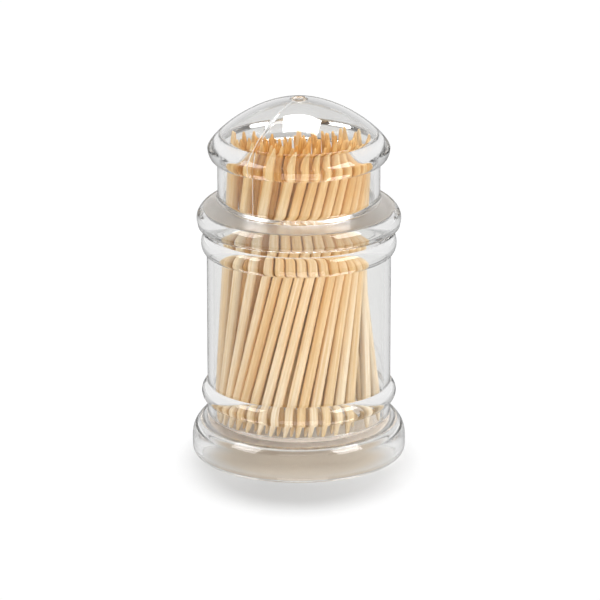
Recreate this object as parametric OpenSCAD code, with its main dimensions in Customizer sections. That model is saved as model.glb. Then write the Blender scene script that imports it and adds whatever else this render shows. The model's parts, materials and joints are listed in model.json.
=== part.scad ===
// Clear table toothpick holder: a footed jar, a domed lid with a dispensing
// hole, and a full load of double-pointed wooden toothpicks.
// Units are millimetres, +Z is up, and the origin is the middle of the foot's
// resting plane.

/* [Jar] */
// Outer radius of the jar's straight body
body_r = 19.75; // [19:0.05:20.2]
// Wall thickness of the jar
jar_wall = 1.2; // [1:0.05:1.3]
// Height of the jar's rim, inside the lid's skirt
rim_z = 54.2; // [53.5:0.1:54.3]
// Height of the floor that the toothpicks stand on
floor_z = 7.95; // [7.8:0.05:8.2]
// Thickness of that floor
floor_t = 1.2; // [1:0.1:1.6]

/* [Foot] */
// Outer radius of the foot
foot_r = 23; // [22.6:0.1:23.6]
// Wall thickness of the hollow foot
foot_wall = 2; // [1.8:0.1:2.2]
// Height of the foot's upright wall
foot_side_h = 3.6; // [3.4:0.1:4.2]
// Height at which the foot's shoulder meets the body
foot_top = 9.3; // [9.2:0.1:9.8]

/* [Beads] */
// How far both ring beads stand out from the body
bead_out = 1.2; // [0.8:0.05:1.4]
// Middle height of the lower bead
low_bead_z = 13.9; // [13.7:0.1:15]
// Half of the lower bead's height
low_bead_h = 2.2; // [1.6:0.1:2.3]
// Middle height of the upper bead
high_bead_z = 47.2; // [46.8:0.1:47.6]
// Half of the upper bead's height
high_bead_h = 2.2; // [1.7:0.1:2.3]

/* [Lid] */
// Height of the skirt's lower edge
skirt_z = 50.8; // [50.4:0.1:51]
// Widest radius of the rounded skirt
skirt_r = 21.9; // [21.6:0.1:22.2]
// Radial clearance between the skirt and the jar's rim
skirt_gap = 0.08; // [0.05:0.01:0.1]
// Outer radius of the lid's neck
neck_r = 17.4; // [17.2:0.05:17.5]
// Inner radius of the lid's neck
neck_bore_r = 16.25; // [16.1:0.05:16.3]
// Height at which the skirt's sloping shoulder meets the neck
neck_foot_z = 57.2; // [56.8:0.1:57.4]
// Height at which the neck runs into the dome's rounded underside
neck_top_z = 65.2; // [64.8:0.1:65.6]

/* [Dome] */
// Widest radius of the dome
dome_r = 19.5; // [19.2:0.05:19.8]
// Height of the dome's widest ring
dome_z = 68.2; // [67.8:0.1:68.6]
// Height of the whole holder
top_z = 79; // [78.5:0.1:79.5]
// Roof thickness of the dome
dome_wall = 1.2; // [1:0.05:1.4]
// Fullness of the dome towards its crown
crown_p = 1.28; // [1.2:0.01:1.4]
// Fullness of the dome towards its rim
crown_q = 1.74; // [1.6:0.01:1.9]
// Radius of the dispensing hole in the crown
hole_r = 1.35; // [1.3:0.05:1.4]

/* [Toothpicks] */
// Diameter of a toothpick
pick_d = 2.1; // [1.9:0.05:2.1]
// Length of a toothpick
pick_len = 65; // [64:0.5:65]
// Length of each sharpened end
pick_point = 7.5; // [6:0.5:9]
// Radius of the blunt tip of each point
pick_tip_r = 0.28; // [0.2:0.02:0.35]
// Turn of the front rows from foot to tip, in degrees
twist_front = 56; // [52:1:58]
// Turn of the back rows from foot to tip, in degrees
twist_back = 40; // [36:1:44]
// How far behind the axis the tips of the back rows stand, the load having slid forward
tips_back = 2; // [1:0.5:3]

/* [Hidden] */
$fn = 96;

clear = [0.90, 0.93, 0.95, 0.35];
wood = [0.87, 0.72, 0.50];

jar_bore_r = body_r - jar_wall;
skirt_bore_r = body_r + skirt_gap;
skirt_roof_z = rim_z + 0.1;

// ---------------------------------------------------------------- profiles

// points [r, z] on an elliptical arc, angles in degrees from the +r direction
function arc(cr, cz, rr, rz, a0, a1, n) =
    [for (i = [0 : n]) let (a = a0 + (a1 - a0) * i / n) [cr + rr * cos(a), cz + rz * sin(a)]];

// a rounded bead on the body wall; f above 1 fillets it into the wall
function bead(z, h, f, n = 16) =
    [for (i = [0 : n]) let (a = 180 * i / n) [body_r + bead_out * pow(sin(a), f), z - h * cos(a)]];

// the foot's shoulder leaves the upright wall without an edge and falls away ever faster
function shoulder(r0, r1, z0, z1, n) =
    [for (i = [0 : n]) let (t = i / n) [r0 - (r0 - r1) * pow(t, 2.4), z0 + (z1 - z0) * t]];

function reverse(v) = [for (i = [len(v) - 1 : -1 : 0]) v[i]];

function jar_outline() = concat(
    arc(foot_r - 1.2, 1.8, 1.2, 1.8, -90, 0, 7),
    shoulder(foot_r, body_r, foot_side_h, foot_top, 14),
    bead(low_bead_z, low_bead_h, 1.8),
    bead(high_bead_z, high_bead_h, 1.1),
    // rounded rim
    arc(body_r - 0.35, rim_z - 0.35, 0.35, 0.35, 0, 90, 4),
    arc(jar_bore_r + 0.35, rim_z - 0.35, 0.35, 0.35, 90, 180, 4),
    // inside of the body and the rounded corner of the floor
    reverse(arc(jar_bore_r - 0.9, floor_z + 0.9, 0.9, 0.9, -90, 0, 5)),
    [[0, floor_z], [0, floor_z - floor_t]],
    // underside of the floor and inside of the hollow foot
    arc(foot_r - foot_wall - 1.6, floor_z - floor_t - 1.6, 1.6, 1.6, 90, 0, 6),
    arc(foot_r - foot_wall + 0.25, 0.25, 0.25, 0.25, 180, 270, 4));

// dome radius and height at parameter t, 0 at the widest ring, 1 at the crown
function dome_rz(t) = [dome_r * pow(max(1 - pow(t, crown_p), 0), 1 / crown_q),
                       dome_z + (top_z - dome_z) * t];
function unit2(v) = v / norm(v);
// the same dome, moved inwards by the roof's thickness
function dome_in(t) = let (a = dome_rz(t - 0.004), b = dome_rz(t + 0.004), d = unit2(b - a))
    dome_rz(t) + dome_wall * [-d[1], d[0]];
dome_steps = 44;
// t of step i, closer together near the crown, where the surface flattens
function step_t(i) = 1 - pow(1 - i / dome_steps, 1.5);
dome_outer = [for (i = [0 : dome_steps]) let (p = dome_rz(step_t(i))) if (p[0] > hole_r + 0.35) p];
dome_inner = [for (i = [1 : dome_steps - 1]) let (p = dome_in(step_t(i)))
              if (p[0] > hole_r + 0.3 && p[0] < neck_bore_r - 0.1) p];
crown_z = dome_outer[len(dome_outer) - 1][1];
roof_z = dome_inner[len(dome_inner) - 1][1];

// the skirt's shoulder is part of an ellipse about this point
skirt_mid = [skirt_r - 8.2, skirt_z + 1.8];
// where the shoulder runs into the neck's fillet
shoulder_end = acos((neck_r + 0.592 - skirt_mid[0]) / 8.2);
shoulder_rise = (neck_foot_z - 0.346 - skirt_mid[1]) / sin(shoulder_end);
shoulder_top = skirt_mid + [8.2 * cos(shoulder_end), shoulder_rise * sin(shoulder_end)];

function lid_outline() = concat(
    // skirt: inner edge, rounded lower edge, convex side
    [[skirt_bore_r, skirt_z + 0.25], [skirt_bore_r + 0.25, skirt_z]],
    arc(skirt_r - 0.7, skirt_z + 0.5, 0.5, 0.5, -90, -35, 4),
    arc(skirt_r - 2.2, skirt_z + 1.8, 2.2, 2.2, -20, 0, 4),
    // convex sloping shoulder, filleted into the neck
    [for (i = [1 : 13]) let (a = shoulder_end * i / 14) skirt_mid + [8.2 * cos(a), shoulder_rise * sin(a)]],
    arc(neck_r + 0.9, shoulder_top[1] + 0.846, 0.9, 0.9, 250, 180, 6),
    // rounded underside of the dome
    [for (i = [0 : 10]) let (a = 90 * i / 10)
        [neck_r + (dome_r - neck_r) * sin(a), dome_z - (dome_z - neck_top_z) * cos(a)]],
    [for (i = [1 : len(dome_outer) - 1]) dome_outer[i]],
    // dispensing hole with softened edges
    [[hole_r + 0.12, crown_z + 0.12], [hole_r, crown_z], [hole_r, roof_z + 0.1]],
    reverse(dome_inner),
    [[neck_bore_r, dome_inner[0][1] - 0.35], [neck_bore_r, skirt_roof_z],
     [skirt_bore_r, skirt_roof_z]]);

// ---------------------------------------------------------------- toothpicks
// A toothpick is [group, foot point, tip point, length], its points in plan.
// Azimuths are in degrees from the front, towards the right.

function at(r, az) = [r * sin(az), -r * cos(az)];
foot_ring_r = jar_bore_r - pick_d / 2 - 0.08;
tip_ring_r = 14.85;
ring_step_foot = 2.45;
ring_step_tip = 2.4;
seeds = rands(-1, 1, 900, 4127);
function rnd(i) = seeds[i % 900];

function smooth(t) = let (c = min(1, max(0, t))) c * c * (3 - 2 * c);
first_az = -94;
// turn of an outer toothpick whose foot stands at azimuth f: one leans against the left
// wall without turning, the next ones fan out, and the turn dies away behind
function twist(f) = -3 + (twist_front + 3) * smooth((f - first_az) / 44)
    - (twist_front - twist_back) * smooth((f - 30) / 110)
    - (twist_back + 3) * smooth((f - 170) / 90);

// which part of the ring a toothpick belongs to, from its mid azimuth
function side_of(k, m) = let (a = (m + 720) % 360, front = a < 90 || a >= 270)
    k == 0 ? (a >= 335 || a < 22 ? "fm" : a < 62 ? "fr" : a < 118 ? "sr"
        : a < 240 ? "bk" : "fl")
    : k == 1 ? (front ? "2f" : "2b") : k == 2 ? (front ? "3f" : "3b")
    : "4";

// smallest distance between the axes of two toothpicks, square to their mean direction
function square_to(v, u) = [v[0], v[1], 0] - (v[0] * u[0] + v[1] * u[1]) * u;
common_h = 62;
function at_common_h(p) = let (d = p[2] - p[1]) p[1] + d * common_h / sqrt(p[3] * p[3] - d * d);
function apart(a, b) = let (ta = at_common_h(a), tb = at_common_h(b), lean = (ta - a[1] + tb - b[1]) / 2,
    u = unit2([lean[0], lean[1], common_h]),
    d0 = square_to(b[1] - a[1], u), e = square_to(tb - ta, u) - d0, ee = e * e,
    t = ee < 1e-9 ? 0 : min(1, max(0, -(d0 * e) / ee))) norm(d0 + t * e);
min_apart = pick_d * 1.015;
function fits(c, taken) = len([for (a = taken) if (apart(a, c) < min_apart) 1]) == 0;

// The tips of a ring stand on an arc in front and on a straight row behind, because the
// load has slid forward and leaves the back of the neck free. a is the tip's azimuth.
function tip_at(k, tr, a) =
    let (yb = tips_back - 2.2 * k, ab = acos(max(-1, min(1, -yb / tr))), c = (a + 720) % 360)
    c < ab || c > 360 - ab ? at(tr, a) : [tr * sin(ab) * (1 - 2 * (c - ab) / (360 - 2 * ab)), yb];

// toothpick number i of ring k, with its foot at azimuth f, moved in by s
function pick_at(k, f, s, i) =
    let (w = (k == 0 ? twist(f) : 56) + 0.5 * rnd(i + 50), slack = 1 - w / twist_front,
         fr = foot_ring_r - ring_step_foot * k - s,
         tr = tip_ring_r - 1.1 * max(0, slack) - ring_step_tip * k - s + 0.1 * rnd(i + 300))
    [side_of(k, f + w / 2), at(max(fr, 0), f), tip_at(k, max(tr, 0.5), f + w),
     pick_len - 0.8 + 0.6 * rnd(i + 500) - 0.9 * max(0, slack)];

// go round each ring, standing every toothpick in the first place that is free
function ring(k, f, stop, s, taken) = f > stop ? taken
    : let (i = len(taken), c = pick_at(k, f, s, i))
      fits(c, taken) ? ring(k, f + hop[k] + (k == 0 ? 0.15 : 0.8) * (1 + rnd(i + 600)), stop, 0, concat(taken, [c]))
      : k > 0 && s < 0.9 ? ring(k, f, stop, s + 0.45, taken)
      : ring(k, f + (k == 0 ? 0.4 : 1.2), stop, 0, taken);
hop = [7.6, 8.4, 10, 12.5];

middle = [["0", [0, 0], [0, 0], pick_len]];
function rings(k, taken) = k > 3 ? taken
    : let (start = first_az - 26 * min(k, 1) + 4 * k) rings(k + 1, ring(k, start, start + 354, 0, taken));
all_picks = rings(0, middle);

module toothpick(length) {
    rotate_extrude()
        polygon([[0, 0], [pick_tip_r * 0.6, 0], [pick_tip_r, 0.2],
                 [pick_d * 0.37, pick_point * 0.5], [pick_d * 0.47, pick_point * 0.8],
                 [pick_d / 2, pick_point * 1.1],
                 [pick_d / 2, length - pick_point * 1.1],
                 [pick_d * 0.47, length - pick_point * 0.8],
                 [pick_d * 0.37, length - pick_point * 0.5],
                 [pick_tip_r, length - 0.2], [pick_tip_r * 0.6, length], [0, length]]);
}

module toothpicks(group) {
    color(wood)
        for (p = all_picks) if (p[0] == group) {
            d = p[2] - p[1];
            lean = asin(norm(d) / p[3]);
            heading = norm(d) < 1e-6 ? 0 : atan2(d[1], d[0]);
            translate([p[1][0], p[1][1], floor_z + 0.05 + 0.3 * sin(lean)])
                rotate([0, lean, heading]) toothpick(p[3]);
        }
}

// ---------------------------------------------------------------- pieces

module jar() {
    color(clear) rotate_extrude() polygon(jar_outline());
}

module lid() {
    color(clear) rotate_extrude() polygon(lid_outline());
}

jar();
lid();
toothpicks("0");  // dispensing_toothpick
toothpicks("fl");  // toothpicks_front_left
toothpicks("fm");  // toothpicks_front_middle
toothpicks("fr");  // toothpicks_front_right
toothpicks("sr");  // toothpicks_side_right
toothpicks("bk");  // toothpicks_back
toothpicks("2f");  // toothpicks_second_front
toothpicks("2b");  // toothpicks_second_back
toothpicks("3f");  // toothpicks_third_front
toothpicks("3b");  // toothpicks_third_back
toothpicks("4");  // toothpicks_fourth_ring
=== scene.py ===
import json
import math
import random

import bmesh
import bpy
import numpy as np
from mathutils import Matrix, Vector


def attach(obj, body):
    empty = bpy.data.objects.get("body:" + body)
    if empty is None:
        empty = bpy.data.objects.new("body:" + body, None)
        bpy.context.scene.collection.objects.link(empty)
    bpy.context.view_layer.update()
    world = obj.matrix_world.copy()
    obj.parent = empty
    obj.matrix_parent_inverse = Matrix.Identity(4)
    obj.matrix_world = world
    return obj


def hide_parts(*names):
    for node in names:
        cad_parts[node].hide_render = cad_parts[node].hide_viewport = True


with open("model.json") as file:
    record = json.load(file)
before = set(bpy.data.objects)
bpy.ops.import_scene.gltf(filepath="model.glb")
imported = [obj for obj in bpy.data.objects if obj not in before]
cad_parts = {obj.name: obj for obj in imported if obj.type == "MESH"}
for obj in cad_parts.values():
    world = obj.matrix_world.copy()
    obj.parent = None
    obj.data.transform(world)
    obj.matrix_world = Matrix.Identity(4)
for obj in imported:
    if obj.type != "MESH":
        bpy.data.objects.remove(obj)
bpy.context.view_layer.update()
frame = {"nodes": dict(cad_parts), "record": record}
record = frame["record"]
MM = 0.001

# ------------------------------------------------------------------ sizes, mm
BODY_R, JAR_WALL, RIM_Z, FLOOR_Z, FLOOR_T = 19.75, 1.2, 54.2, 7.95, 1.2
FOOT_R, FOOT_WALL, FOOT_SIDE, FOOT_TOP = 23.0, 2.0, 3.6, 9.3
MATTE_DISC = 17.4
BEAD_OUT, LOW_Z, LOW_H, HIGH_Z, HIGH_H = 1.2, 13.9, 2.2, 47.2, 2.2
SKIRT_Z, SKIRT_R, SKIRT_GAP = 50.8, 21.9, 0.08
NECK_R, NECK_BORE, NECK_FOOT, NECK_TOP = 17.4, 16.25, 57.2, 65.2
DOME_R, DOME_Z, TOP_Z, DOME_WALL = 19.5, 68.2, 79.0, 1.2
CROWN_P, CROWN_Q, HOLE_R = 1.28, 1.74, 1.35
PICK_R = 1.05
JAR_BORE = BODY_R - JAR_WALL
SKIRT_BORE = BODY_R + SKIRT_GAP
KNIT_AZ = -34.0  # the knit line's azimuth, degrees from the front to the right


# ------------------------------------------------------------------ profiles
def arc(cr, cz, rr, rz, a0, a1, n):
    out = []
    for i in range(n + 1):
        a = math.radians(a0 + (a1 - a0) * i / n)
        out.append((cr + rr * math.cos(a), cz + rz * math.sin(a)))
    return out


def bead(z, h, f, n=40):
    out = []
    for i in range(n + 1):
        a = math.pi * i / n
        out.append((BODY_R + BEAD_OUT * max(math.sin(a), 0.0) ** f, z - h * math.cos(a)))
    return out


def shoulder(r0, r1, z0, z1, n):
    return [(r0 - (r0 - r1) * (i / n) ** 2.4, z0 + (z1 - z0) * i / n) for i in range(n + 1)]


def dome_rz(t):
    return (
        DOME_R * max(1 - max(t, 0.0) ** CROWN_P, 0.0) ** (1 / CROWN_Q),
        DOME_Z + (TOP_Z - DOME_Z) * t,
    )


def dome_in(t):
    a, b = dome_rz(t - 0.004), dome_rz(t + 0.004)
    dr, dz = b[0] - a[0], b[1] - a[1]
    n = math.hypot(dr, dz)
    r, z = dome_rz(t)
    return (r - DOME_WALL * dz / n, z + DOME_WALL * dr / n)


def jar_profile():
    pts = arc(FOOT_R - 1.2, 1.8, 1.2, 1.8, -90, 0, 12)
    pts += shoulder(FOOT_R, BODY_R, FOOT_SIDE, FOOT_TOP, 28)
    pts += bead(LOW_Z, LOW_H, 1.8)
    pts += bead(HIGH_Z, HIGH_H, 1.1)
    pts += arc(BODY_R - 0.35, RIM_Z - 0.35, 0.35, 0.35, 0, 90, 6)
    pts += arc(JAR_BORE + 0.35, RIM_Z - 0.35, 0.35, 0.35, 90, 180, 6)
    pts += arc(JAR_BORE - 0.9, FLOOR_Z + 0.9, 0.9, 0.9, -90, 0, 10)[::-1]
    pts += [(0, FLOOR_Z), (0, FLOOR_Z - FLOOR_T), (MATTE_DISC, FLOOR_Z - FLOOR_T)]
    pts += arc(FOOT_R - FOOT_WALL - 1.6, FLOOR_Z - FLOOR_T - 1.6, 1.6, 1.6, 90, 0, 12)
    pts += arc(FOOT_R - FOOT_WALL + 0.25, 0.25, 0.25, 0.25, 180, 270, 6)
    return pts


def lid_profile():
    steps = 88
    ts = [1 - (1 - i / steps) ** 1.5 for i in range(steps + 1)]
    outer = [p for p in (dome_rz(t) for t in ts) if p[0] > HOLE_R + 0.35]
    inner = [
        p
        for p in (dome_in(t) for t in ts[1:-1])
        if HOLE_R + 0.3 < p[0] < NECK_BORE - 0.1
    ]
    crown, roof = outer[-1][1], inner[-1][1]
    pts = [(SKIRT_BORE, SKIRT_Z + 0.25), (SKIRT_BORE + 0.25, SKIRT_Z)]
    pts += arc(SKIRT_R - 0.7, SKIRT_Z + 0.5, 0.5, 0.5, -90, -35, 6)
    pts += arc(SKIRT_R - 2.2, SKIRT_Z + 1.8, 2.2, 2.2, -20, 0, 6)
    mid_r, mid_z = SKIRT_R - 8.2, SKIRT_Z + 1.8
    end = math.acos((NECK_R + 0.592 - mid_r) / 8.2)
    rise = (NECK_FOOT - 0.346 - mid_z) / math.sin(end)
    for i in range(1, 24):
        a = end * i / 24
        pts.append((mid_r + 8.2 * math.cos(a), mid_z + rise * math.sin(a)))
    pts += arc(NECK_R + 0.9, NECK_FOOT + 0.5, 0.9, 0.9, 250, 180, 10)
    for i in range(21):
        a = math.radians(90 * i / 20)
        pts.append(
            (NECK_R + (DOME_R - NECK_R) * math.sin(a), DOME_Z - (DOME_Z - NECK_TOP) * math.cos(a))
        )
    pts += outer[1:]
    pts += [(HOLE_R + 0.12, crown + 0.12), (HOLE_R, crown), (HOLE_R, roof + 0.1)]
    pts += inner[::-1]
    pts += [
        (NECK_BORE, inner[0][1] - 0.35),
        (NECK_BORE, RIM_Z + 0.1),
        (SKIRT_BORE, RIM_Z + 0.1),
    ]
    return pts


def soften(pts, radius, least=24):
    """Round every corner sharper than `least` degrees, and hold long straight runs with loops near their ends."""
    clean = []
    for p in pts:
        if not clean or math.dist(p, clean[-1]) > 1e-4:
            clean.append(p)
    out = []
    n = len(clean)
    for i, p in enumerate(clean):
        a, b = clean[i - 1], clean[(i + 1) % n]
        if p[0] < 1e-6:
            out.append(p)
            continue
        v, w = Vector(a) - Vector(p), Vector(b) - Vector(p)
        turn = 180 - math.degrees(v.angle(w))
        if turn < least:
            out.append(p)
            continue
        cut = min(radius, v.length * 0.4, w.length * 0.4)
        s, e = Vector(p) + v.normalized() * cut, Vector(p) + w.normalized() * cut
        for k in range(6):
            t = k / 5
            q = s * (1 - t) ** 2 + Vector(p) * 2 * t * (1 - t) + e * t * t
            out.append((q.x, q.y))
    held = []
    n = len(out)
    for i, p in enumerate(out):
        held.append(p)
        q = out[(i + 1) % n]
        d = math.dist(p, q)
        if p[0] < 1e-6 and q[0] < 1e-6:
            continue
        if d > 0.7:
            cuts = [0.06 / d]
            extra = int(d // 2.5)
            cuts += [0.06 / d + (1 - 0.12 / d) * k / (extra + 1) for k in range(1, extra + 1)]
            cuts.append(1 - 0.06 / d)
            held += [(p[0] + (q[0] - p[0]) * c, p[1] + (q[1] - p[1]) * c) for c in cuts]
    return held


def angles(segments):
    """Azimuths round the axis, closer together beside the knit line."""
    every = [360 * i / segments for i in range(segments)]
    knit = KNIT_AZ % 360
    near = [knit + d for d in (-0.9, -0.55, -0.3, -0.14, 0, 0.14, 0.3, 0.55, 0.9)]
    keep = [a for a in every if min(abs(a - knit), 360 - abs(a - knit)) > 1.2]
    return sorted(keep + near)


def lathe(name, profile, segments, matte, knit_from=None):
    """A closed body of revolution, in metres. Above knit_from, a hair-fine groove follows the knit line.

    matte gives the material slot of a part of the profile, 0 where the plastic is clear.
    """
    az = angles(segments)
    knit = KNIT_AZ % 360
    bm = bmesh.new()
    rings = []
    strip = []
    crown = max(range(len(profile)), key=lambda i: profile[i][1])
    rng = random.Random(11)
    phase = [rng.uniform(0, 6.28) for _ in range(6)]
    for r, z in profile:
        if r < 1e-6:
            rings.append([bm.verts.new((0, 0, z * MM))])
            continue
        ring = []
        for a in az:
            t = math.radians(a)
            # moulding never leaves a perfectly even wall
            rr = r + 0.010 * math.sin(3 * t + phase[0] + z * 0.11) * math.sin(z * 0.23 + phase[1])
            rr += 0.004 * math.sin(7 * t + phase[2] - z * 0.17)
            if knit_from is not None and z > knit_from:
                d = (a - knit) * r * math.pi / 180
                rr -= 0.045 * math.exp(-((d / 0.15) ** 2)) * min(1, (z - knit_from) / 1.0)
            ring.append(bm.verts.new((rr * math.sin(t) * MM, -rr * math.cos(t) * MM, z * MM)))
        rings.append(ring)
    n = len(rings)
    for i in range(n):
        a, b = rings[i], rings[(i + 1) % n]
        if len(a) == 1 and len(b) == 1:
            continue
        m = max(len(a), len(b))
        for k in range(m):
            k2 = (k + 1) % m
            if len(a) == 1:
                face = bm.faces.new((a[0], b[k2], b[k]))
            elif len(b) == 1:
                face = bm.faces.new((a[k], a[k2], b[0]))
            else:
                face = bm.faces.new((a[k], a[k2], b[k2], b[k]))
            (r0, z0), (r1, z1) = profile[i], profile[(i + 1) % n]
            face.material_index = matte((r0 + r1) / 2, (z0 + z1) / 2)
            if len(a) > 1 and len(b) > 1:
                if knit_from is not None and i < crown - 2 and profile[i][1] > knit_from:
                    d = ((az[k] + az[k2]) / 2 - knit) * profile[i][0] * math.pi / 180
                    if abs(d) < 0.11:
                        strip.append(face)
    bmesh.ops.recalc_face_normals(bm, faces=bm.faces)
    for f in bm.faces:
        f.smooth = True
    for f in strip:
        f.material_index = 2
    mesh = bpy.data.meshes.new(name)
    bm.to_mesh(mesh)
    bm.free()
    ob = bpy.data.objects.new(name, mesh)
    bpy.context.scene.collection.objects.link(ob)
    return ob


# ------------------------------------------------------------------ toothpicks
def pick_axes(ob):
    """(foot, tip) of every toothpick in a CAD node, in metres, from its separate solids."""
    co = np.array([v.co for v in ob.data.vertices], float)
    keys, index = {}, np.zeros(len(co), int)
    for i, c in enumerate(np.round(co * 1e6).astype(int)):
        index[i] = keys.setdefault(tuple(c), len(keys))
    points = np.zeros((len(keys), 3))
    points[index] = co
    parent = list(range(len(keys)))

    def root(i):
        while parent[i] != i:
            parent[i] = parent[parent[i]]
            i = parent[i]
        return i

    for p in ob.data.polygons:
        vs = [root(index[v]) for v in p.vertices]
        for v in vs[1:]:
            parent[root(v)] = root(vs[0])
    groups = {}
    for i in range(len(keys)):
        groups.setdefault(root(i), []).append(i)
    found = []
    for members in groups.values():
        pts = points[members]
        c = pts.mean(0)
        _, _, vt = np.linalg.svd(pts - c)
        a = vt[0] if vt[0][2] > 0 else -vt[0]
        for _ in range(2):
            s = (pts - c) @ a
            foot = pts[s < s.min() + 0.00006].mean(0)
            tip = pts[s > s.max() - 0.00006].mean(0)
            a = (tip - foot) / np.linalg.norm(tip - foot)
        found.append((foot, tip))
    found.sort(key=lambda p: tuple(np.round(p[0], 6)))
    return found


# how far the painted shade in the gaps reaches from a neighbouring stick, mm
GAP_REACH = 0.22
TAPER_S = (0.0, 0.10, 0.25, 1.2, 2.4, 3.75, 4.9, 6.0, 7.1, 8.25, 9.4)
TAPER_R = (0.13, 0.22, 0.285, 0.44, 0.60, 0.775, 0.90, 0.985, 1.03, 1.05, 1.05)


def closeness(points, own_foot, everything):
    """How near each point lies to a neighbour, 0 in the open to 1 touching, and how deep inside the load it is: the
    masks for the painted shade in the gaps and deep in the load.
    """
    depth, dense = np.zeros(len(points)), np.zeros(len(points))
    for foot, tip in everything:
        if np.linalg.norm(foot - own_foot) < 1e-5:
            continue
        v = tip - foot
        length = np.linalg.norm(v)
        t = np.clip(((points - foot) @ v) / (v @ v), 0, 1)
        near = np.linalg.norm(points - (foot + t[:, None] * v), axis=1)
        radius = np.interp(np.minimum(t, 1 - t) * length / MM, TAPER_S, TAPER_R) * MM
        clear = np.maximum(near - radius, 0)
        depth += np.exp(-clear / (GAP_REACH * MM))
        dense += np.exp(-clear / (2.0 * MM))
    return np.minimum(depth, 1.4) / 1.4, np.clip((dense - 2.0) / 1.7, 0, 1)


def pick_mesh(name, axes, seed, everything):
    """Double-pointed sticks with slightly uneven, split-fibre sides. Each carries its own grain coordinates and tint,
    and masks for the painted shade in the gaps, deep in the load and on the crowded tops.
    """
    rng = random.Random(seed)
    sides = 28
    verts, faces, grain, tint, gap_shade, inner, crowd_shade = [], [], [], [], [], [], []
    for foot, tip in axes:
        foot, tip = Vector(foot), Vector(tip)
        axis = tip - foot
        length = axis.length / MM
        axis.normalize()
        u = axis.orthogonal().normalized()
        w = axis.cross(u)
        spin = rng.uniform(0, 6.28)
        shift = Vector((rng.uniform(-40, 40), rng.uniform(-40, 40), rng.uniform(-200, 200)))
        own = rng.random()
        flats = [(rng.uniform(0, 6.28), rng.uniform(0.3, 1.0)) for _ in range(5)]
        end_a, end_b = rng.uniform(0.97, 1.0), rng.uniform(0.97, 1.0)
        stations = [0.0, 0.05, 0.12, 0.25, 0.6, 1.2, 1.8, 2.4, 3.1, 3.75, 4.4, 5.0, 5.6, 6.3, 7.0, 7.7, 8.5, 9.6]
        middle = 14
        stations += [9.6 + (length - 19.2) * k / (middle + 1) for k in range(1, middle + 1)]
        stations += [length - s for s in stations[17::-1]]
        base = len(verts)
        for j, s in enumerate(stations):
            near_foot = s < length / 2
            e = min(s, length - s)
            r = float(np.interp(e * (end_a if near_foot else end_b), TAPER_S, TAPER_R))
            for k in range(sides):
                a = spin + 2 * math.pi * k / sides
                rr = r
                # shallow flats left by shaving the blank, strongest on the points
                for c, depth in flats:
                    rr -= r * depth * (0.045 if e > 9 else 0.05) * max(0.0, math.cos(a - c - 0.02 * s)) ** 6
                rr -= r * 0.008 * (0.5 + 0.5 * math.sin(9 * a + 0.05 * s + own * 30))
                p = foot + axis * (s * MM) + (u * math.cos(a) + w * math.sin(a)) * (rr * MM)
                verts.append(p)
                grain.append((rr * math.cos(a) + shift.x, rr * math.sin(a) + shift.y, s + shift.z))
                tint.append(own)
        rows = len(stations)
        made = np.array([tuple(v) for v in verts[base:]])
        # masks for the painted shade in the gaps and deep in the load
        near, deep = closeness(made, np.array(tuple(foot)), everything)
        gap_shade.extend(near)
        inner.extend(deep)
        # mask for the painted shade on the crowded tops, above 54 mm; none on a lone stick
        crowd_shade.extend(np.clip((made[:, 2] - 0.054) / 0.008, 0, 1) * (len(axes) > 1))
        for j in range(rows - 1):
            for k in range(sides):
                k2 = (k + 1) % sides
                p, q = base + j * sides, base + (j + 1) * sides
                faces.append((p + k, p + k2, q + k2, q + k))
        faces.append(tuple(base + k for k in range(sides))[::-1])
        faces.append(tuple(base + (rows - 1) * sides + k for k in range(sides)))
    mesh = bpy.data.meshes.new(name)
    bm = bmesh.new()
    g = bm.verts.layers.float_vector.new("grain")
    t = bm.verts.layers.float.new("tint")
    c = bm.verts.layers.float.new("gap_shade")
    h = bm.verts.layers.float.new("inner")
    d = bm.verts.layers.float.new("crowd_shade")
    made = [bm.verts.new(v) for v in verts]
    for v, gg, tt, cc, hh, dd in zip(made, grain, tint, gap_shade, inner, crowd_shade):
        v[g] = gg
        v[t] = tt
        v[c] = cc
        v[h] = hh
        v[d] = dd
    for f in faces:
        face = bm.faces.new([made[i] for i in f])
        face.smooth = len(f) == 4
    bmesh.ops.recalc_face_normals(bm, faces=bm.faces)
    bm.to_mesh(mesh)
    bm.free()
    ob = bpy.data.objects.new(name, mesh)
    bpy.context.scene.collection.objects.link(ob)
    return ob


# ------------------------------------------------------------------ materials
def new_material(name):
    mat = bpy.data.materials.new(name)
    mat.use_nodes = True
    nt = mat.node_tree
    nt.nodes.clear()
    return mat, nt


def link(nt, a, b):
    nt.links.new(a, b)


def noise_node(nt, vector, scale, detail=3.0, rough=0.55, distortion=0.0):
    n = nt.nodes.new("ShaderNodeTexNoise")
    n.inputs["Scale"].default_value = scale
    n.inputs["Detail"].default_value = detail
    n.inputs["Roughness"].default_value = rough
    n.inputs["Distortion"].default_value = distortion
    link(nt, vector, n.inputs["Vector"])
    return n.outputs[0]


def stretch(nt, vector, scale):
    m = nt.nodes.new("ShaderNodeMapping")
    m.inputs["Scale"].default_value = scale
    link(nt, vector, m.inputs["Vector"])
    return m.outputs[0]


def ramp(nt, value, stops):
    r = nt.nodes.new("ShaderNodeValToRGB")
    link(nt, value, r.inputs[0])
    e = r.color_ramp.elements
    while len(e) > len(stops):
        e.remove(e[-1])
    while len(e) < len(stops):
        e.new(0.5)
    for el, (pos, col) in zip(e, stops):
        el.position = pos
        el.color = col if len(col) == 4 else (*col, 1)
    return r.outputs[0]


def math_node(nt, op, a, b, clamp=False):
    m = nt.nodes.new("ShaderNodeMath")
    m.operation = op
    m.use_clamp = clamp
    for i, v in enumerate((a, b)):
        if isinstance(v, (int, float)):
            m.inputs[i].default_value = v
        else:
            link(nt, v, m.inputs[i])
    return m.outputs[0]


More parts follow.
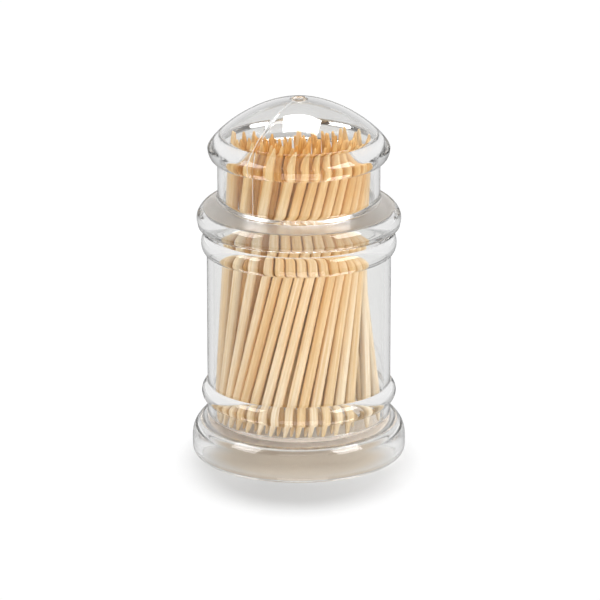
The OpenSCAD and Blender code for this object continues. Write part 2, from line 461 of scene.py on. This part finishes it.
def mix_colour(nt, fac, a, b, blend="MIX"):
    m = nt.nodes.new("ShaderNodeMix")
    m.data_type = "RGBA"
    m.blend_type = blend
    for sock, v in ((m.inputs[0], fac), (m.inputs[6], a), (m.inputs[7], b)):
        if isinstance(v, (int, float)):
            sock.default_value = v
        elif isinstance(v, tuple):
            sock.default_value = v if len(v) == 4 else (*v, 1)
        else:
            link(nt, v, sock)
    return m.outputs[2]


def clear_plastic():
    """Clear styrene: a high index, a faint cool cast, handling scratches and a slightly uneven gloss."""
    mat, nt = new_material("clear_styrene")
    out = nt.nodes.new("ShaderNodeOutputMaterial")
    p = nt.nodes.new("ShaderNodeBsdfPrincipled")
    p.inputs["Base Color"].default_value = (*PLASTIC_TINT, 1)
    p.inputs["Transmission Weight"].default_value = 1.0
    p.inputs["IOR"].default_value = 1.57
    co = nt.nodes.new("ShaderNodeTexCoord").outputs["Object"]
    cloudy = noise_node(nt, co, 260.0, 4.0, 0.6)
    rough = ramp(nt, cloudy, [(0.35, (0.004,) * 3), (0.62, (0.014,) * 3), (0.8, (0.035,) * 3)])
    link(nt, rough, p.inputs["Roughness"])
    # fine handling scratches, mostly round the body
    scratch = noise_node(nt, stretch(nt, co, (900, 900, 5200)), 1.0, 2.0, 0.5, 0.4)
    scratch = ramp(nt, scratch, [(0.66, (0, 0, 0)), (0.72, (1, 1, 1)), (0.78, (0, 0, 0))])
    waves = noise_node(nt, co, 95.0, 1.0, 0.4)
    height = math_node(nt, "ADD", math_node(nt, "MULTIPLY", scratch, 0.03), waves)
    bump = nt.nodes.new("ShaderNodeBump")
    bump.inputs["Strength"].default_value = 0.05
    bump.inputs["Distance"].default_value = 0.0004
    link(nt, height, bump.inputs["Height"])
    link(nt, bump.outputs[0], p.inputs["Normal"])
    # rays from the lamps pass, so that they reach the toothpicks inside
    path = nt.nodes.new("ShaderNodeLightPath")
    through = nt.nodes.new("ShaderNodeBsdfTransparent")
    through.inputs[0].default_value = (*PLASTIC_SHADE, 1)
    mix = nt.nodes.new("ShaderNodeMixShader")
    link(nt, path.outputs["Is Shadow Ray"], mix.inputs[0])
    link(nt, p.outputs[0], mix.inputs[1])
    link(nt, through.outputs[0], mix.inputs[2])
    link(nt, mix.outputs[0], out.inputs["Surface"])
    return mat


def core_side(name, tint, clear, roughness, shade):
    """The same plastic where it isn't polished: the mould's core side, and the foot's scuffed shoulder. The tint also
    colours it, which some callers use for painted shade or a painted warm cast.
    """
    mat, nt = new_material(name)
    out = nt.nodes.new("ShaderNodeOutputMaterial")
    p = nt.nodes.new("ShaderNodeBsdfPrincipled")
    p.inputs["Base Color"].default_value = (*tint, 1)
    p.inputs["Transmission Weight"].default_value = clear
    p.inputs["IOR"].default_value = 1.57
    p.inputs["Roughness"].default_value = roughness
    path = nt.nodes.new("ShaderNodeLightPath")
    through = nt.nodes.new("ShaderNodeBsdfTransparent")
    through.inputs[0].default_value = (*shade, 1)
    mix = nt.nodes.new("ShaderNodeMixShader")
    link(nt, path.outputs["Is Shadow Ray"], mix.inputs[0])
    link(nt, p.outputs[0], mix.inputs[1])
    link(nt, through.outputs[0], mix.inputs[2])
    link(nt, mix.outputs[0], out.inputs["Surface"])
    return mat


def weld_line():
    """The knit line's skin: the same plastic, clouded where two flows met."""
    mat, nt = new_material("knit_line")
    out = nt.nodes.new("ShaderNodeOutputMaterial")
    p = nt.nodes.new("ShaderNodeBsdfPrincipled")
    p.inputs["Base Color"].default_value = (0.96, 0.96, 0.96, 1)
    p.inputs["Transmission Weight"].default_value = 0.62
    p.inputs["IOR"].default_value = 1.57
    p.inputs["Roughness"].default_value = 0.2
    link(nt, p.outputs[0], out.inputs["Surface"])
    return mat


def pick_wood():
    """Pale birch with long fibres, thin darker streaks, small specks and a tint of its own for each stick, with
    painted shade in the gaps, deep in the load and on the crowded tops.
    """
    mat, nt = new_material("birch_toothpick")
    out = nt.nodes.new("ShaderNodeOutputMaterial")
    p = nt.nodes.new("ShaderNodeBsdfPrincipled")
    link(nt, p.outputs[0], out.inputs["Surface"])
    at = nt.nodes.new("ShaderNodeAttribute")
    at.attribute_name = "grain"
    co = at.outputs["Vector"]
    tn = nt.nodes.new("ShaderNodeAttribute")
    tn.attribute_name = "tint"
    tint = tn.outputs["Fac"]
    fibre = noise_node(nt, stretch(nt, co, (2.4, 2.4, 0.055)), 1.0, 4.0, 0.6)
    fine = noise_node(nt, stretch(nt, co, (7.5, 7.5, 0.16)), 1.0, 3.0, 0.6)
    speck = noise_node(nt, stretch(nt, co, (5.0, 5.0, 1.1)), 1.0, 2.0, 0.5)
    own = ramp(
        nt,
        tint,
        [
            (0.0, (0.79, 0.62, 0.385)),
            (0.3, (0.83, 0.71, 0.515)),
            (0.65, (0.88, 0.80, 0.655)),
            (1.0, (0.82, 0.67, 0.45)),
        ],
    )
    dark = mix_colour(nt, 1.0, own, (0.85, 0.73, 0.58), "MULTIPLY")
    col = mix_colour(nt, ramp(nt, fibre, [(0.38, (0, 0, 0)), (0.66, (1, 1, 1))]), dark, own)
    streak = ramp(nt, fine, [(0.32, (1, 1, 1)), (0.46, (0, 0, 0))])
    col = mix_colour(nt, math_node(nt, "MULTIPLY", streak, 0.42), col, (0.62, 0.42, 0.20))
    spots = ramp(nt, speck, [(0.72, (0, 0, 0)), (0.78, (1, 1, 1))])
    col = mix_colour(nt, math_node(nt, "MULTIPLY", spots, 0.35), col, (0.45, 0.27, 0.12))
    # painted shade: the gaps between sticks are coloured deep orange, standing in for light that has bounced between
    # them
    gp = nt.nodes.new("ShaderNodeAttribute")
    gp.attribute_name = "gap_shade"
    deep = ramp(nt, gp.outputs["Fac"], [(0.42, (0, 0, 0)), (0.85, (1, 1, 1))])
    shaded = mix_colour(nt, 1.0, col, GAP_SHADE_COLOUR, "MULTIPLY")
    col = mix_colour(nt, deep, col, shaded)
    # painted shade: sticks deep inside the load are coloured darker and more orange
    ip = nt.nodes.new("ShaderNodeAttribute")
    ip.attribute_name = "inner"
    col = mix_colour(nt, ip.outputs["Fac"], col, mix_colour(nt, 1.0, col, DEEP_SHADE_COLOUR, "MULTIPLY"))
    # painted shade: the crowded tops are coloured darker, as they shade each other more than the rest
    cp = nt.nodes.new("ShaderNodeAttribute")
    cp.attribute_name = "crowd_shade"
    col = mix_colour(nt, cp.outputs["Fac"], col, mix_colour(nt, 1.0, col, TOP_SHADE_COLOUR, "MULTIPLY"))
    link(nt, col, p.inputs["Base Color"])
    p.inputs["Specular IOR Level"].default_value = 0.05
    rough = ramp(nt, fine, [(0.3, (0.78,) * 3), (0.7, (0.6,) * 3)])
    link(nt, rough, p.inputs["Roughness"])
    bump = nt.nodes.new("ShaderNodeBump")
    bump.inputs["Strength"].default_value = 0.35
    bump.inputs["Distance"].default_value = 0.00006
    link(nt, math_node(nt, "ADD", math_node(nt, "MULTIPLY", fine, 0.6), fibre), bump.inputs["Height"])
    link(nt, bump.outputs[0], p.inputs["Normal"])
    return mat


def floor_material():
    mat, nt = new_material("white_sweep")
    out = nt.nodes.new("ShaderNodeOutputMaterial")
    p = nt.nodes.new("ShaderNodeBsdfPrincipled")
    co = nt.nodes.new("ShaderNodeTexCoord").outputs["Object"]
    # the sweep is lit evenly to white away from the object
    shifted = nt.nodes.new("ShaderNodeMapping")
    shifted.inputs["Location"].default_value = (0.0, 0.008, 0.0)
    shifted.inputs["Scale"].default_value = (1.35, 1.0, 1.0)
    link(nt, co, shifted.inputs["Vector"])
    far = nt.nodes.new("ShaderNodeVectorMath")
    far.operation = "LENGTH"
    link(nt, shifted.outputs[0], far.inputs[0])
    glow = nt.nodes.new("ShaderNodeEmission")
    glow.inputs[0].default_value = (1, 1, 1, 1)
    # seen in mirror reflections only, the sweep's glow drops to 0.20, so its image in the clear walls stays faint, as
    # a dark card would keep it
    path = nt.nodes.new("ShaderNodeLightPath")
    mirror_dimming = nt.nodes.new("ShaderNodeMapRange")
    mirror_dimming.inputs["To Min"].default_value, mirror_dimming.inputs["To Max"].default_value = 1.02, 0.20
    mirrored = math_node(nt, "SUBTRACT", path.outputs["Is Glossy Ray"], path.outputs["Is Transmission Ray"])
    link(nt, mirrored, mirror_dimming.inputs["Value"])
    link(nt, mirror_dimming.outputs[0], glow.inputs[1])
    spread = nt.nodes.new("ShaderNodeMapRange")
    spread.interpolation_type = "SMOOTHSTEP"
    spread.inputs["From Min"].default_value, spread.inputs["From Max"].default_value = 0.024, 0.0385
    link(nt, far.outputs["Value"], spread.inputs["Value"])
    both = nt.nodes.new("ShaderNodeMixShader")
    link(nt, spread.outputs[0], both.inputs[0])
    link(nt, p.outputs[0], both.inputs[1])
    link(nt, glow.outputs[0], both.inputs[2])
    link(nt, both.outputs[0], out.inputs["Surface"])
    n = noise_node(nt, co, 40.0, 2.0, 0.5)
    plain = ramp(nt, n, [(0.3, (0.54, 0.54, 0.54)), (0.7, (0.55, 0.55, 0.55))])
    # painted shade: under the foot the sweep is coloured darker and warm, standing in for light that comes down
    # through the load
    near = nt.nodes.new("ShaderNodeVectorMath")
    near.operation = "LENGTH"
    link(nt, co, near.inputs[0])
    under_foot_shade = nt.nodes.new("ShaderNodeMapRange")
    under_foot_shade.inputs["From Min"].default_value, under_foot_shade.inputs["From Max"].default_value = 0.0165, 0.0195
    link(nt, near.outputs["Value"], under_foot_shade.inputs["Value"])
    link(nt, mix_colour(nt, under_foot_shade.outputs[0], (0.56, 0.50, 0.425), plain), p.inputs["Base Color"])
    p.inputs["Roughness"].default_value = 0.9
    p.inputs["Specular IOR Level"].default_value = 0.1
    return mat


# painted shade colour, multiplied into the wood in the gaps between sticks
GAP_SHADE_COLOUR = (1.0, 0.62, 0.27)
# painted shade colour, multiplied into the crowded tops
TOP_SHADE_COLOUR = (0.88, 0.78, 0.60)
# painted shade colour, multiplied into sticks deep in the load
DEEP_SHADE_COLOUR = (1.0, 0.79, 0.50)
PLASTIC_TINT = (0.90, 0.90, 0.895)
PLASTIC_SHADE = (0.88, 0.88, 0.875)
CLEAR, WOOD, KNIT = clear_plastic(), pick_wood(), weld_line()
# the foot's inner wall is unpolished, with a faint warm tint as painted shade, standing in for the warm shade under
# the load
FOOT_MATTE_PAINTED_WARM = core_side("matte_foot_painted_warm", (0.90, 0.87, 0.82), 1.0, 0.12, (0.55, 0.54, 0.52))
WORN = core_side("worn_foot", PLASTIC_TINT, 1.0, 0.05, PLASTIC_SHADE)
# the underside disc of the jar floor is unpolished, and coloured warm beige and mostly diffuse as painted warm light,
# standing in for the wood-coloured light seen there
FLOOR_MATTE_PAINTED_WARM = core_side("matte_floor_painted_warm", (1.0, 0.92, 0.84), 0.30, 0.35, (0.60, 0.58, 0.55))
# painted shade: the lid's step land on the jar rim is unpolished, and also coloured dark beige and half diffuse,
# standing in for the shade there
STEP_PAINTED_SHADE = core_side("matte_step_painted_shade", (0.32, 0.285, 0.245), 0.50, 0.24, (0.85, 0.845, 0.83))

# ------------------------------------------------------------------ the object
def matte_jar(r, z):
    if r > BODY_R + 0.1 and 2.5 < z < FOOT_TOP:
        return 3
    if not (1.7 < z < FLOOR_Z - FLOOR_T + 0.05 and r < FOOT_R - FOOT_WALL + 0.02):
        return 0
    return 2 if r < MATTE_DISC else 1


def matte_lid(r, z):
    return int(RIM_Z - 0.3 < z < RIM_Z + 0.12 and NECK_BORE < r < SKIRT_BORE + 0.02)


jar = lathe("jar_moulding", soften(jar_profile(), 0.16), 256, matte_jar)
lid = lathe("lid_moulding", soften(lid_profile(), 0.16), 256, matte_lid, knit_from=56.5)
for ob, body, node in ((jar, "jar", "jar"), (lid, "lid", "lid")):
    ob.data.materials.append(CLEAR)
    ob.data.materials.append(FOOT_MATTE_PAINTED_WARM if ob is jar else STEP_PAINTED_SHADE)
    ob.data.materials.append(FLOOR_MATTE_PAINTED_WARM if ob is jar else KNIT)
    if ob is jar:
        ob.data.materials.append(WORN)
    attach(ob, body)
    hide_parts(node)

bodies = record["behaviour"]["bodies"]
everything = []
for members in bodies.values():
    for node in members:
        if "toothpick" in node:
            everything += pick_axes(frame["nodes"][node])
for body, members in bodies.items():
    for node in members:
        if "toothpick" not in node:
            continue
        axes = pick_axes(frame["nodes"][node])
        ob = pick_mesh("wood_" + node, axes, sum(map(ord, node)), everything)
        ob.data.materials.append(WOOD)
        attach(ob, body)
        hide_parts(node)

# ------------------------------------------------------------------ the studio
floor_mesh = bpy.data.meshes.new("sweep")
bm = bmesh.new()
half = 3.0
bm.faces.new([bm.verts.new(v) for v in ((-half, -half, 0), (half, -half, 0), (half, half, 0), (-half, half, 0))])
bm.to_mesh(floor_mesh)
bm.free()
floor = bpy.data.objects.new("sweep", floor_mesh)
bpy.context.scene.collection.objects.link(floor)
floor_mesh.materials.append(floor_material())

world = bpy.data.worlds.new("studio")
bpy.context.scene.world = world
world.use_nodes = True
nt = world.node_tree
nt.nodes.clear()
out = nt.nodes.new("ShaderNodeOutputWorld")
seen, room = nt.nodes.new("ShaderNodeBackground"), nt.nodes.new("ShaderNodeBackground")
seen.inputs[0].default_value = (1, 1, 1, 1)
seen.inputs[1].default_value = 1.05
direction = nt.nodes.new("ShaderNodeTexCoord").outputs["Generated"]
split = nt.nodes.new("ShaderNodeSeparateXYZ")
link(nt, direction, split.inputs[0])
back = ramp(
    nt,
    math_node(nt, "ADD", math_node(nt, "MULTIPLY", split.outputs[1], 0.5), 0.5),
    [(0.0, (0.14, 0.14, 0.14)), (0.30, (0.18, 0.18, 0.18)), (0.5, (0.30, 0.30, 0.30)), (0.65, (0.62, 0.62, 0.62)), (0.8, (0.80, 0.80, 0.80))],
)
lift = ramp(nt, split.outputs[2], [(0.0, (1, 1, 1)), (0.30, (0.85, 0.85, 0.85)), (0.65, (0.32, 0.32, 0.32)), (1.0, (0.22, 0.22, 0.22))])
# dark flags stand at both sides
side = math_node(nt, "ABSOLUTE", split.outputs[0], 0)
flags = ramp(nt, side, [(0.70, (1, 1, 1)), (0.86, (0.22, 0.22, 0.22)), (1.0, (0.12, 0.12, 0.12))])
lift = mix_colour(nt, 1.0, lift, flags, "MULTIPLY")
link(nt, mix_colour(nt, 1.0, back, lift, "MULTIPLY"), room.inputs[0])
room.inputs[1].default_value = 1.0
path = nt.nodes.new("ShaderNodeLightPath")
mix = nt.nodes.new("ShaderNodeMixShader")
link(nt, path.outputs["Is Camera Ray"], mix.inputs[0])
link(nt, room.outputs[0], mix.inputs[1])
link(nt, seen.outputs[0], mix.inputs[2])
link(nt, mix.outputs[0], out.inputs[0])


def softbox(name, azimuth, elevation, distance, wide, high, radiance, mirrored=True):
    """A soft light that faces the object. Azimuth 0 is in front, towards the viewer, and positive is to the right."""
    lamp = bpy.data.lights.new(name, "AREA")
    lamp.shape = "RECTANGLE"
    lamp.size, lamp.size_y = wide, high
    lamp.energy = radiance * math.pi * wide * high
    ob = bpy.data.objects.new(name, lamp)
    bpy.context.scene.collection.objects.link(ob)
    a, e = math.radians(azimuth), math.radians(elevation)
    aim = Vector((0, 0, 0.045))
    d = Vector((math.sin(a) * math.cos(e), -math.cos(a) * math.cos(e), math.sin(e)))
    ob.location = aim + d * distance
    ob.rotation_mode = "QUATERNION"
    ob.rotation_quaternion = (-d).to_track_quat("-Z", "Y")
    ob.visible_camera = False
    ob.visible_glossy = mirrored
    return ob


softbox("softbox_left", -66, 31, 0.75, 0.40, 0.32, 6.1)
softbox("softbox_right", 60, 31, 0.75, 0.40, 0.32, 7.6)
softbox("fill", 13, 42, 1.20, 1.30, 0.90, 1.75, mirrored=False)
softbox("front", 4, 14, 1.40, 1.50, 0.60, 2.72, mirrored=False)
softbox("softbox_top", 175, 69, 0.70, 0.32, 0.23, 14.0)

# ------------------------------------------------------------------ camera
ELEVATION, DISTANCE = math.radians(17.3), 1.027
target = Vector((0.00024, 0, 0.03396))
cam_data = bpy.data.cameras.new("camera")
cam_data.sensor_width = 36
cam_data.lens = 286.2
cam_data.clip_start, cam_data.clip_end = 0.05, 20
cam = bpy.data.objects.new("camera", cam_data)
bpy.context.scene.collection.objects.link(cam)
away = Vector((0, -math.cos(ELEVATION), math.sin(ELEVATION)))
cam.location = target + away * DISTANCE
cam.rotation_mode = "QUATERNION"
cam.rotation_quaternion = (-away).to_track_quat("-Z", "Y")
bpy.context.scene.camera = cam

cycles = bpy.context.scene.cycles
cycles.max_bounces, cycles.transmission_bounces, cycles.glossy_bounces = 40, 36, 16
cycles.transparent_max_bounces = 32
bpy.context.scene.view_settings.view_transform = "Standard"
bpy.context.scene.view_settings.look = "None"
